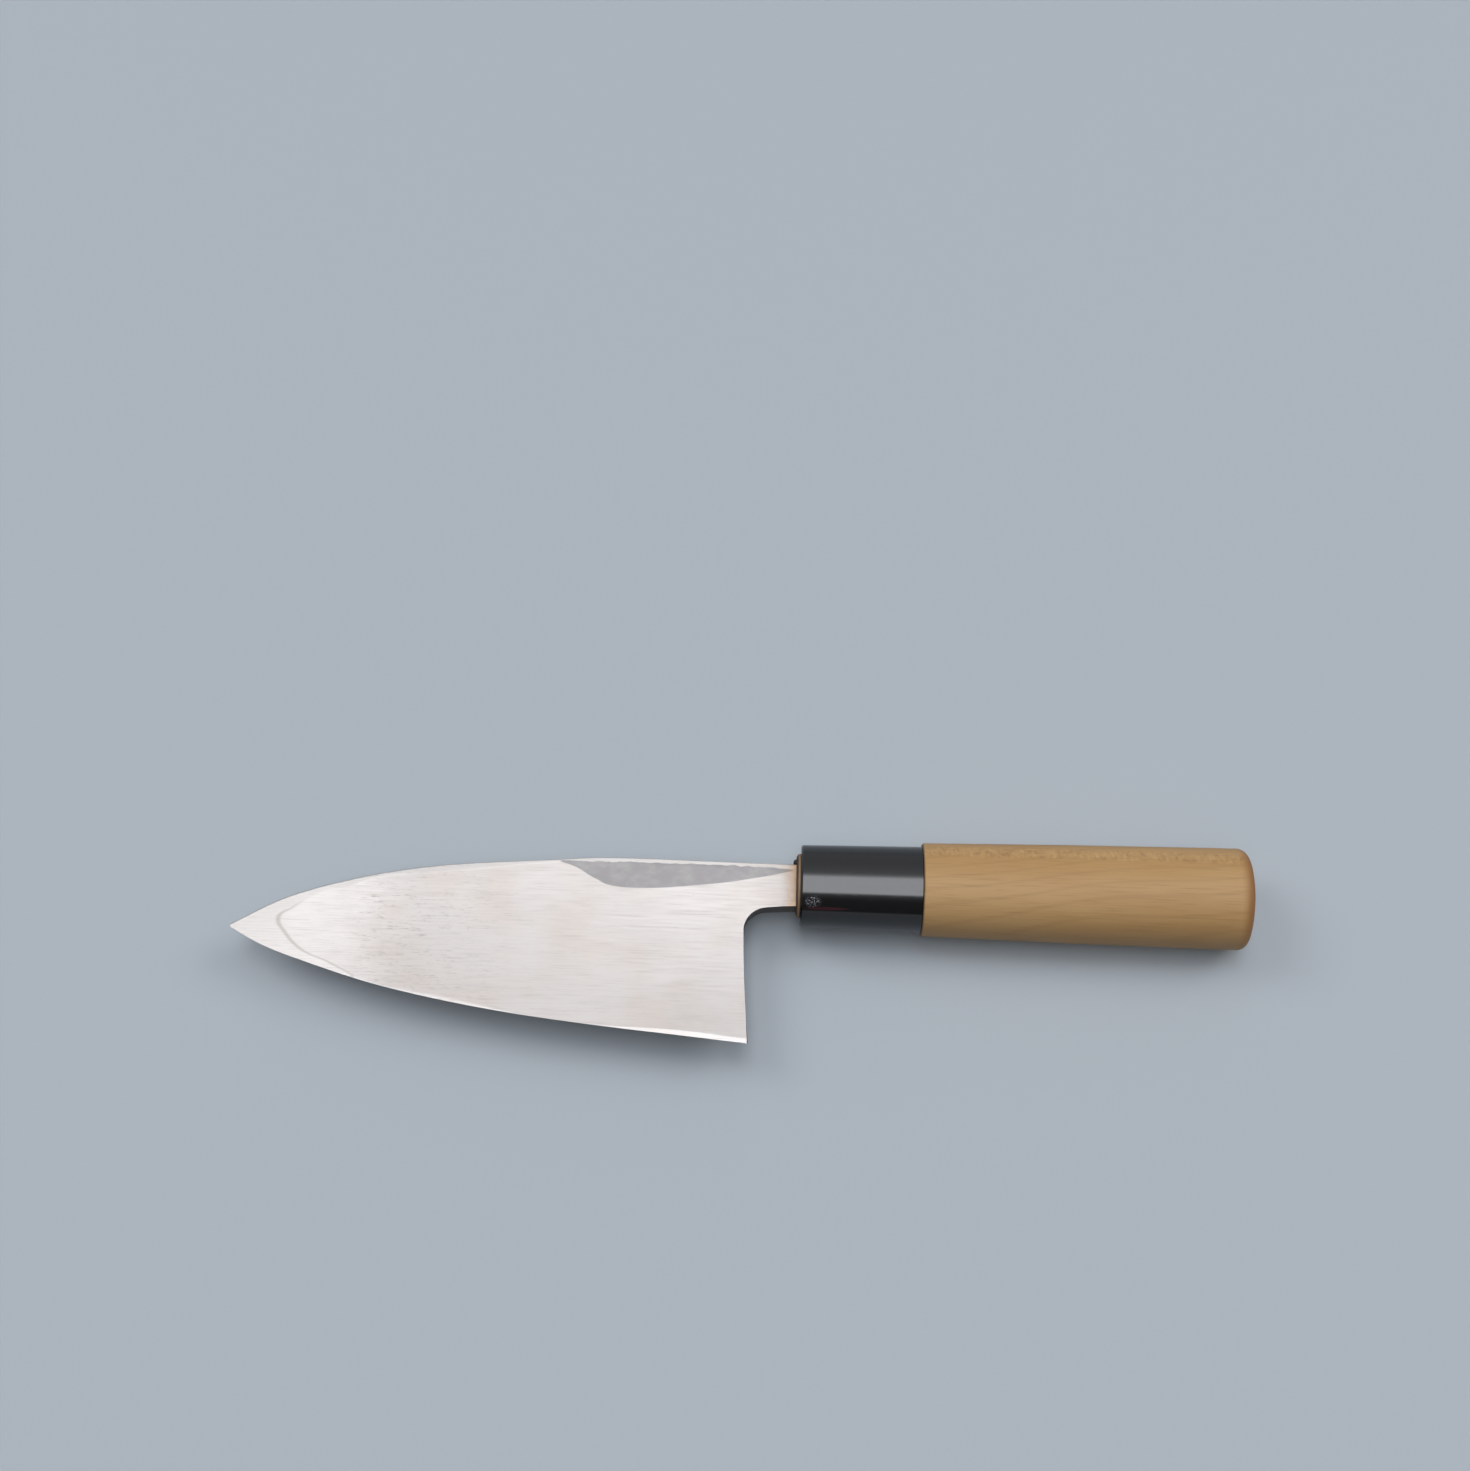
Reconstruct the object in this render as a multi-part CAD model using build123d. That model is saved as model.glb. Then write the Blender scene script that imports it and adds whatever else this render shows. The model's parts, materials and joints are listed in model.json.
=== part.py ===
from build123d import *
import math
import os

# A small single-bevel deba knife, lying on its side with the hollow-ground back face up.
# While it is built, X runs along the knife from tip to butt and is zero at the ferrule's front end,
# Y points to the spine, Z points out of the back face, and Y = Z = 0 on the handle's axis.
# All sizes are millimetres.

# Blade outline
blade_length = 120.0         # tip to heel corner
neck_length = 11.2           # heel corner to ferrule
tip_depth = 14.6             # tip below the handle's axis
heel_depth = 39.1            # heel corner below the axis
spine_height = 5.0           # straight part of the spine above the axis
tip_radius = 0.6             # rounding of the very tip
tip_half_angle = 30.0        # degrees, spine and edge leave the tip at this angle
heel_angle = 5.5             # degrees, slope of the edge at the heel
heel_lean = 1.85             # how far the heel line lies towards the tip at its top
heel_hollow = 0.4            # how far the heel line is drawn in at its middle
neck_radius = 5.6            # corner between heel line and neck
neck_height_top = 4.6        # neck above the axis, at the ferrule
neck_height_bottom = 5.8     # neck below the axis, at the ferrule
neck_flare = 0.7             # how much deeper the neck is where it meets the heel corner

# Spine and edge curves, from the tip to the end of each curve.
# Each pair is a share of the blade's run and of its rise or drop.
spine_shares = [
    (0.0935, 0.336), (0.1675, 0.515), (0.280, 0.707), (0.433, 0.863), (0.626, 0.960), (0.844, 1.0),
]
edge_shares = [
    (0.065, 0.174), (0.145, 0.320), (0.262, 0.499), (0.417, 0.669), (0.608, 0.812), (0.797, 0.908),
    (1.0, 1.0),
]

# Blade thickness and grinds
blade_thickness = 4.0        # at the neck and heel
tip_thickness = 1.4          # at the tip, after a straight taper
taper_start = 14.0           # the taper starts this far ahead of the ferrule
edge_land = 0.12             # the edge itself
spine_easing = 0.3           # rounded corners of spine and neck
bevel_width = 19.5           # edge to ridge line, at the heel
# Each pair is a place along the edge from heel to tip, then the share of the bevel's full width there.
bevel_width_shares = [
    (0.0, 1.0), (0.2, 0.99), (0.4, 0.94), (0.6, 0.84), (0.8, 0.70), (0.92, 0.57), (1.0, 0.46),
]
bevel_reach_share = 0.25     # how far the grinding surface runs on past the edge and the ridge line
steel_share = 0.3            # hard steel as a share of the blade's thickness
weld_setback = 3.2           # where the hard steel ends on the neck, ahead of the ferrule
weld_slant = 1.2             # how far that end leans

# Hollow of the back face
hollow_depth = 0.42          # at the heel, where the hollow is widest
# Each row is a place along the blade as a share of its run from the tip, then the flat rim that is left
# along the spine and along the edge, as shares of the blade's height there.
hollow_rim_shares = [
    (0.095, 0.375, 0.520), (0.103, 0.300, 0.440), (0.122, 0.208, 0.268), (0.143, 0.131, 0.155),
    (0.197, 0.075, 0.088), (0.250, 0.050, 0.027), (0.345, 0.042, 0.012), (0.510, 0.036, 0.010),
    (0.760, 0.032, 0.009), (1.0, 0.030, 0.025),
]
hollow_runout = 8.0          # the wheel leaves the neck within this length
runout_lift_share = 0.04     # how far it has risen clear of the neck there, as a share of the depth

# Tang
tang_length = 68.0           # inside the handle
tang_end_height = 5.0
tang_end_thickness = 2.2
tang_end_radius = 1.8

# Handle
ferrule_length = 28.2
ferrule_front_width = 19.5
ferrule_rear_width = 20.3
ferrule_front_chamfer = 0.4
ferrule_rear_chamfer = 0.15
grip_length = 76.9           # wood behind the ferrule
grip_end_length = 10.0       # almost untapered stretch at the butt
grip_front_width = 22.0
grip_middle_width = 23.2     # half way to that stretch
grip_end_width = 23.9        # where that stretch starts
grip_butt_width = 24.0
oval_share = 0.885           # thickness of every oval as a share of its width
grip_shoulder_chamfer = 0.3
butt_dome_radius = 46.0
butt_rounding = 2.6
tenon_width = 15.1
tenon_proud = 0.8            # tenon ahead of the ferrule
tenon_chamfer = 0.25
glue_gap = 0.05              # glue line round tenon and tang
slot_spare = 3.0             # burnt slot beyond the tang's end

# Seal at the mouth of the slot
seal_depth = 2.5
seal_margin = 0.5            # round the neck
seal_spine_margin = 2.0      # above the spine, where the slot was cut taller
seal_proud = 0.2
seal_bead_radius = 0.85

# One overrun for all cuts
overrun = 5.0

tip_x = -(neck_length + blade_length)
heel_x = -neck_length
half_thickness = blade_thickness / 2
# The sharp corner that the tip's rounding takes away
corner_reach = tip_radius * (1 / math.sin(math.radians(tip_half_angle)) - 1)
corner_x = tip_x - corner_reach
blade_run = heel_x - corner_x
butt_x = ferrule_length + grip_length
taper_x = -taper_start
taper_slope = (blade_thickness - tip_thickness) / (taper_x - tip_x)
flare_slope = neck_flare / (neck_length + heel_lean)


def front_z(x):
    """Height of the flat bevel-side face, level on the neck and then tapering to the tip."""
    return -half_thickness + taper_slope * max(taper_x - x, 0)


def slab(face, depth):
    """A side view thickened by depth to both sides."""
    return Pos(0, 0, -depth) * extrude(face, 2 * depth, dir=(0, 0, 1))


def top_view(points):
    """Face drawn in the view on the spine, as points of length and height."""
    face = make_face(Polyline(points, close=True))
    return Plane(origin=(0, 0, 0), x_dir=(1, 0, 0), z_dir=(0, -1, 0)) * face


def side_slab(points, depth):
    """A view on the spine, given as points, thickened by depth to both sides."""
    return Pos(0, depth, 0) * extrude(top_view(points), 2 * depth, dir=(0, -1, 0))


def across(x):
    """Plane square to the knife at x, with its own X towards the spine."""
    return Plane(origin=(x, 0, 0), x_dir=(0, 1, 0), z_dir=(1, 0, 0))


def oval(x, width):
    """Oval section of the handle at x."""
    return across(x) * Ellipse(width / 2, width / 2 * oval_share)


def spine_point(share):
    return (corner_x + blade_run * share[0], -tip_depth + (tip_depth + spine_height) * share[1])


def edge_point(share):
    return (corner_x + blade_run * share[0], -tip_depth - (heel_depth - tip_depth) * share[1])


# Blade outline curves, all in the plane of the handle's axis
corner = (corner_x, -tip_depth)
lean = math.radians(tip_half_angle)
spine_end = spine_point(spine_shares[-1])
neck_top = (0, neck_height_top)
neck_bottom = (0, -neck_height_bottom)
spine_curve = Spline(
    [corner] + [spine_point(share) for share in spine_shares],
    tangents=[(math.cos(lean), math.sin(lean)), (neck_top[0] - spine_end[0], neck_top[1] - spine_end[1])],
)
heel_slope = math.radians(heel_angle)
edge_curve = Spline(
    [corner] + [edge_point(share) for share in edge_shares],
    tangents=[(math.cos(lean), -math.sin(lean)), (math.cos(heel_slope), -math.sin(heel_slope))],
)
heel_corner = (heel_x, -heel_depth)
neck_corner = (heel_x - heel_lean, -neck_height_bottom - neck_flare)
heel_middle = (
    (heel_corner[0] + neck_corner[0]) / 2 - heel_hollow,
    (heel_corner[1] + neck_corner[1]) / 2,
)


def height_at(curve, x):
    """Height of an outline curve where it crosses x."""
    low = 0.0
    high = 1.0
    for _ in range(40):
        middle = (low + high) / 2
        if (curve @ middle).X < x:
            low = middle
        else:
            high = middle
    return (curve @ low).Y


def spine_height_at(x):
    """Height of the spine above the axis, along its curve and then along the neck."""
    if x < spine_end[0]:
        return height_at(spine_curve, x)
    return neck_top[1] + (spine_end[1] - neck_top[1]) * x / spine_end[0]


def blade_outline():
    """Side view of blade and neck as one face, up to the ferrule's front end."""
    border = [
        spine_curve,
        Line(spine_curve @ 1, neck_top),
        Line(neck_top, neck_bottom),
        Line(neck_bottom, neck_corner),
        ThreePointArc(neck_corner, heel_middle, heel_corner),
        edge_curve,
    ]
    return make_face(Wire(border))


def is_upright(edge):
    return abs(edge.tangent_at(0.5).Z) > 0.5


def upright_at(solid, x, y):
    """The upright corner edges of a solid that stand at x, y."""
    return [
        edge for edge in solid.edges()
        if is_upright(edge) and math.hypot(edge.center().X - x, edge.center().Y - y) < spine_easing
    ]


def eased_edges(solid):
    """Long edges of spine, neck and heel, on both faces, but not of the cutting edge."""
    chosen = []
    for edge in solid.edges():
        middle = edge @ 0.5
        if is_upright(edge) or middle.X > -glue_gap:
            continue
        on_spine = abs(middle.Y - spine_height_at(middle.X)) < spine_easing
        on_heel = middle.X > neck_corner[0] - spine_easing - heel_hollow
        if on_spine or on_heel:
            chosen.append(edge)
    return chosen


def tang(clearance, spare):
    """The tapered tang, or with a clearance and a spare length the slot round it."""
    end_x = tang_length + spare
    half_height = tang_end_height / 2 + clearance
    half_end = tang_end_thickness / 2 + clearance
    half = half_thickness + clearance
    top = neck_height_top + clearance
    bottom = -neck_height_bottom - clearance
    side = make_face(Polyline([
        (0, top), (end_x, half_height), (end_x, -half_height), (0, bottom),
    ], close=True))
    edge_view = [(0, half), (end_x, half_end), (end_x, -half_end), (0, -half)]
    return slab(side, blade_thickness) & side_slab(edge_view, heel_depth)


def burnt_slot():
    """The slot that the hot tang burns into the handle, open at the mouth."""
    front_x = -tenon_proud - overrun
    half = half_thickness + glue_gap
    top = neck_height_top + glue_gap
    bottom = -neck_height_bottom - glue_gap
    mouth = make_face(Polyline([
        (front_x, top), (0, top), (0, bottom), (front_x, bottom + flare_slope * front_x),
    ], close=True))
    neck_space = slab(mouth, half)
    return tang(glue_gap, slot_spare) + neck_space


def bevel_grinding():
    """The body that the bevel side's grinding takes away, from the edge to the ridge line."""
    low_z = -blade_thickness
    sections = []
    for place, width_share in bevel_width_shares:
        point = edge_curve @ (1 - place)
        tangent = edge_curve % (1 - place)
        x = point.X
        y = point.Y
        if place == 0:
            x = x + overrun
            y = y + overrun * tangent.Y / tangent.X
        if place == 1:
            x = x - overrun
            y = y - overrun * tangent.Y / tangent.X
        width = bevel_width * width_share
        edge_z = half_thickness - edge_land
        ridge_z = front_z(x)
        reach = bevel_reach_share
        outer = (y - width * reach, edge_z + (edge_z - ridge_z) * reach)
        inner = (y + width * (1 + reach), ridge_z - (edge_z - ridge_z) * reach)
        border = Polyline([outer, inner, (inner[0], low_z), (outer[0], low_z)], close=True)
        sections.append(across(x) * make_face(border))
    return loft(sections)


def hollow_section(x, upper, lower, depth, level):
    """Slice of the grinding wheel's path, which dips by depth below a level between two heights."""
    middle = (upper + lower) / 2
    half_width = (upper - lower) / 2 * math.sqrt(2)
    bottom = (middle, level - depth)
    left = (middle - half_width, level + depth)
    right = (middle + half_width, level + depth)
    return across(x) * make_face(Wire([ThreePointArc(left, bottom, right), Line(right, left)]))


def hollow_grinding():
    """The shallow hollow of the back face, which leaves a flat rim all round."""
    sections = []
    full_width = 0
    rows = []
    for place, spine_rim, edge_rim in hollow_rim_shares:
        x = corner_x + blade_run * place
        top = spine_height_at(x)
        bottom = height_at(edge_curve, x)
        height = top - bottom
        upper = top - height * spine_rim
        lower = bottom + height * edge_rim
        full_width = upper - lower
        rows.append((x, upper, lower))
    for x, upper, lower in rows:
        depth = hollow_depth * ((upper - lower) / full_width) ** 2
        sections.append(hollow_section(x, upper, lower, depth, half_thickness))
    last_x, last_upper, last_lower = rows[-1]
    lift = hollow_depth * runout_lift_share
    end_x = last_x + hollow_runout
    sections.append(hollow_section(end_x, last_upper, last_lower, lift, half_thickness + 2 * lift))
    return loft(sections)


def steel_plate():
    """Space of the hard-steel plate: the back of the blade, ending on the neck."""
    start_x = corner_x - overrun
    start_z = half_thickness - steel_share * (half_thickness - front_z(start_x))
    steel_z = half_thickness - steel_share * blade_thickness
    plate = side_slab([
        (start_x, start_z),
        (taper_x, steel_z),
        (0, steel_z),
        (0, half_thickness + overrun),
        (start_x, half_thickness + overrun),
    ], heel_depth + overrun)
    weld_x = -weld_setback
    ahead = make_face(Polyline([
        (start_x, -heel_depth - overrun),
        (weld_x - weld_slant, -heel_depth - overrun),
        (weld_x - weld_slant, -neck_height_bottom - neck_flare),
        (weld_x + weld_slant, spine_height + overrun),
        (start_x, spine_height + overrun),
    ], close=True))
    return plate & slab(ahead, blade_thickness)


def tip_waste():
    """What rounding takes off the sharp corner between spine and edge."""
    centre_x = corner_x + tip_radius / math.sin(lean)
    end_x = centre_x - tip_radius * math.sin(lean)
    start_x = corner_x - overrun
    corner_square = Pos((start_x + end_x) / 2, -tip_depth) * Rectangle(end_x - start_x, 2 * overrun)
    return slab(corner_square - Pos(centre_x, -tip_depth) * Circle(tip_radius), blade_thickness)


def blade_body():
    """Blade, neck and tang as forged and cut to shape, before the grinding."""
    start_x = corner_x - overrun
    blank = slab(blade_outline(), blade_thickness) & side_slab([
        (start_x, half_thickness),
        (0, half_thickness),
        (0, -half_thickness),
        (taper_x, -half_thickness),
        (start_x, front_z(start_x)),
    ], heel_depth + overrun)
    blank = fillet(upright_at(blank, neck_corner[0], neck_corner[1]), neck_radius)
    blank = fillet(eased_edges(blank), spine_easing)
    blank = blank - tip_waste()
    inside = tang(0, 0)
    half_end = tang_end_height / 2
    ends = upright_at(inside, tang_length, half_end) + upright_at(inside, tang_length, -half_end)
    return blank + fillet(ends, tang_end_radius)


def make_seal_space():
    """Resin at the mouth of the slot: a pocket round the neck and a bead above the spine."""
    top = neck_height_top + seal_spine_margin
    bottom = -neck_height_bottom - seal_margin
    width = top - bottom
    height = blade_thickness + 2 * seal_margin
    outline = Pos((top + bottom) / 2, 0) * RectangleRounded(width, height, seal_margin)
    pocket = extrude(across(-tenon_proud - seal_proud) * outline, seal_depth + seal_proud)
    bead_y = top - seal_bead_radius
    bead = Pos(-tenon_proud - seal_proud / 2, bead_y, 0) * Sphere(seal_bead_radius)
    return pocket + bead


def make_handle():
    """Grip and tenon in one piece of wood, with the slot burnt in."""
    end_x = butt_x - grip_end_length
    grip = loft([
        oval(ferrule_length, grip_front_width),
        oval((ferrule_length + end_x) / 2, grip_middle_width),
        oval(end_x, grip_end_width),
        oval(butt_x, grip_butt_width),
    ], ruled=True)
    dome = Pos(butt_x - butt_dome_radius, 0, 0) * Sphere(butt_dome_radius)
    grip = grip & dome
    ends = grip.edges().sort_by(Axis.X)
    grip = fillet(ends[-1], butt_rounding)
    shoulder = grip.edges().sort_by(Axis.X)[0]
    grip = chamfer(shoulder, grip_shoulder_chamfer)
    tenon = extrude(oval(-tenon_proud, tenon_width), tenon_proud + ferrule_length + glue_gap)
    tenon = chamfer(tenon.edges().sort_by(Axis.X)[0], tenon_chamfer)
    return grip + tenon - tang_slot - make_seal_space()


def make_ferrule():
    """Tapered oval tube that is pressed over the tenon and up to the grip's shoulder."""
    shell = loft([oval(0, ferrule_front_width), oval(ferrule_length, ferrule_rear_width)])
    rims = shell.edges().sort_by(Axis.X)
    shell = chamfer(rims[0], ferrule_front_chamfer)
    rims = shell.edges().sort_by(Axis.X)
    shell = chamfer(rims[-1], ferrule_rear_chamfer)
    bore = extrude(oval(-overrun, tenon_width + 2 * glue_gap), ferrule_length + 2 * overrun)
    return shell - bore


tang_slot = burnt_slot()
body = blade_body()
ground = body - bevel_grinding() - hollow_grinding()
plate = steel_plate()
nodes = {
    "blade_iron": ground - plate,
    "blade_steel": ground & plate,
    "handle_wood": make_handle(),
    "ferrule": make_ferrule(),
    "tang_seal": make_seal_space() - tang_slot,
}

# The finished knife stands with its lowest line at zero height, centred on its own box
box = Compound([solid for piece in nodes.values() for solid in piece.solids()]).bounding_box()
home = Pos(-box.center().X, -box.center().Y, -box.min.Z)

os.makedirs("parts", exist_ok=True)
for name, piece in nodes.items():
    placed = home * piece
    export_step(placed, f"parts/{name}.step")
    size = placed.bounding_box()
    print(name, len(placed.solids()), "solids", round(placed.volume, 1), "mm3", size.min, size.max)
print("axis of the handle at", -box.center().Y, -box.min.Z, "ferrule front at", -box.center().X)
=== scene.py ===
import json
import math

import bpy
from mathutils import Matrix, Vector


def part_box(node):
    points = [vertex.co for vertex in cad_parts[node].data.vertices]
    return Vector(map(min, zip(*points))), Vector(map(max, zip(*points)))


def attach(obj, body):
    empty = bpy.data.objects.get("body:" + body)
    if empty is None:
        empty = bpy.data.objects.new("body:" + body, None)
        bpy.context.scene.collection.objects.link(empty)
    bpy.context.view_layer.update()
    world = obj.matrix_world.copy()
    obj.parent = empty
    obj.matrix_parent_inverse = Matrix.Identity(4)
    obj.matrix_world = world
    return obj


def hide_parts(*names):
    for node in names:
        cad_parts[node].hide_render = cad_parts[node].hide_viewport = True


# Lengths are metres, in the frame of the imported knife: X from tip to butt, Y from edge to spine,
# Z up out of the hollow-ground back. mm turns a size in millimetres into metres.
mm = 0.001

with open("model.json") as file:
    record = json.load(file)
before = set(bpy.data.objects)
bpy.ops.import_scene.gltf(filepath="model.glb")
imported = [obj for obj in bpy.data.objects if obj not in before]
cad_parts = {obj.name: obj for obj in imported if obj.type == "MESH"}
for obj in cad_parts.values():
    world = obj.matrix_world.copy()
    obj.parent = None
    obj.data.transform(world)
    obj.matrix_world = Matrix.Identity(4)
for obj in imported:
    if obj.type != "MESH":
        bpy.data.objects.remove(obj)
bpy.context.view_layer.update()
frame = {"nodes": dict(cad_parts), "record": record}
print("frame loaded")

# Places that the finishes are laid out from, read off the frame
ferruleLow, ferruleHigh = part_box("ferrule")
woodLow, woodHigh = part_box("handle_wood")
mouthX = ferruleLow[0]                            # front of the ferrule
axisY = (ferruleLow[1] + ferruleHigh[1]) / 2      # the handle's axis
axisZ = (ferruleLow[2] + ferruleHigh[2]) / 2
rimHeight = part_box("blade_steel")[1][2]           # the flat rim round the hollow


# Turns an sRGB hex colour into linear red, green and blue, with full alpha
def toLinear(hexColour):
    values = []
    for start in (1, 3, 5):
        value = int(hexColour[start:start + 2], 16) / 255
        if value <= 0.04045:
            values.append(value / 12.92)
        else:
            values.append(((value + 0.055) / 1.055) ** 2.4)
    return (values[0], values[1], values[2], 1)


# Adds a node. Inputs go by name or number, and each is a value, the output of another node, or a
# node, which gives its first output in use. A Map Range takes the value, where it starts and ends,
# and then the results there. A Mix takes the share, and then two numbers as 2 and 3 or two colours
# as 6 and 7.
def addNode(tree, kind, inputs=None, **settings):
    node = tree.nodes.new("ShaderNode" + kind)
    for name, value in settings.items():
        setattr(node, name, value)
    for key, value in (inputs or {}).items():
        if isinstance(value, bpy.types.Node):
            value = next(output for output in value.outputs if output.enabled)
        if isinstance(value, bpy.types.NodeSocket):
            tree.links.new(value, node.inputs[key])
        else:
            node.inputs[key].default_value = value
    return node


# Settings that many nodes share
smooth = {"interpolation_type": "SMOOTHSTEP"}
product = {"operation": "MULTIPLY"}
difference = {"operation": "SUBTRACT"}
multiplyAdd = {"operation": "MULTIPLY_ADD"}
withoutSign = {"operation": "ABSOLUTE"}
colours = {"data_type": "RGBA"}


# Noise patterns, each laid out from the size in millimetres of its grains along X, Y and Z, and
# turned about Z by degrees. One that names no roughness keeps Blender's own.
def layPatterns(tree, coords, patterns):
    laid = {}
    for name, pattern in patterns.items():
        scale = [1 / (length * mm) for length in pattern["size"]]
        turn = (0, 0, math.radians(pattern.get("turn", 0)))
        place = addNode(tree, "Mapping", {"Vector": coords, "Rotation": turn, "Scale": scale})
        inputs = {"Vector": place, "Scale": 1.0, "Detail": pattern["detail"]}
        if "rough" in pattern:
            inputs["Roughness"] = pattern["rough"]
        laid[name] = addNode(tree, "TexNoise", inputs).outputs["Fac"]
    return laid


# A curve through a few points: where the value is a point's first number, it gives the second. Both
# numbers are in unit.
def curveThrough(tree, value, points, unit=mm):
    lowIn, highIn = points[0][0], points[-1][0]
    lowOut = min(point[1] for point in points)
    highOut = max(point[1] for point in points)
    share = addNode(tree, "MapRange", {0: value, 1: lowIn * unit, 2: highIn * unit})
    curve = addNode(tree, "FloatCurve", {"Value": share})
    shape = curve.mapping.curves[0]
    while len(shape.points) < len(points):
        shape.points.new(0.5, 0.5)      # placed below
    for spot, (given, result) in zip(shape.points, points):
        across = (given - lowIn) / (highIn - lowIn)
        up = (result - lowOut) / (highOut - lowOut)
        spot.location = (across, up)
        spot.handle_type = "AUTO_CLAMPED"
    curve.mapping.update()
    return addNode(tree, "MapRange", {0: curve, 3: lowOut * unit, 4: highOut * unit})


# A new material, with its node tree and the surface that its finish goes into
def startMaterial(name):
    material = bpy.data.materials.new(name)
    material.use_nodes = True
    tree = material.node_tree
    tree.nodes.clear()
    surface = addNode(tree, "BsdfPrincipled")
    addNode(tree, "OutputMaterial", {"Surface": surface})
    return material, tree, surface


# Operators act on all that is selected, so one piece is selected alone
def makeActive(piece):
    bpy.ops.object.select_all(action="DESELECT")
    piece.select_set(True)
    bpy.context.view_layer.objects.active = piece


mergeDistance = 0.001 * mm          # corners nearer than this become one
smoothAngle = math.radians(30)      # edges that turn more than this stay crisp


# A CAD node's mesh is loose triangles, so a merged copy of it stands for it
def dressNode(nodeName, pieceName, material):
    makeActive(frame["nodes"][nodeName])
    bpy.ops.object.duplicate()
    piece = bpy.context.active_object
    piece.name = pieceName
    piece.data.name = pieceName
    bpy.ops.mesh.customdata_custom_splitnormals_clear()
    bpy.ops.object.mode_set(mode="EDIT")
    bpy.ops.mesh.select_all(action="SELECT")
    bpy.ops.mesh.remove_doubles(threshold=mergeDistance)
    bpy.ops.object.mode_set(mode="OBJECT")
    piece.data.materials.clear()
    piece.data.materials.append(material)
    bpy.ops.object.shade_smooth_by_angle(angle=smoothAngle, keep_sharp_edges=True)
    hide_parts(nodeName)
    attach(piece, "root")
    return piece


# Faces that lie flat to a direction get a crisp border, so that a polished flat looks flat
def crispFlat(piece, direction, tolerance):
    makeActive(piece)
    bpy.ops.object.mode_set(mode="EDIT")
    bpy.ops.mesh.select_mode(type="FACE")
    bpy.ops.mesh.select_all(action="DESELECT")
    bpy.ops.object.mode_set(mode="OBJECT")
    for face in piece.data.polygons:
        face.select = face.normal.angle(direction) < tolerance
    bpy.ops.object.mode_set(mode="EDIT")
    bpy.ops.mesh.region_to_loop()
    bpy.ops.mesh.mark_sharp()
    bpy.ops.mesh.select_mode(type="VERT")
    bpy.ops.mesh.select_all(action="DESELECT")
    bpy.ops.object.mode_set(mode="OBJECT")


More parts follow.
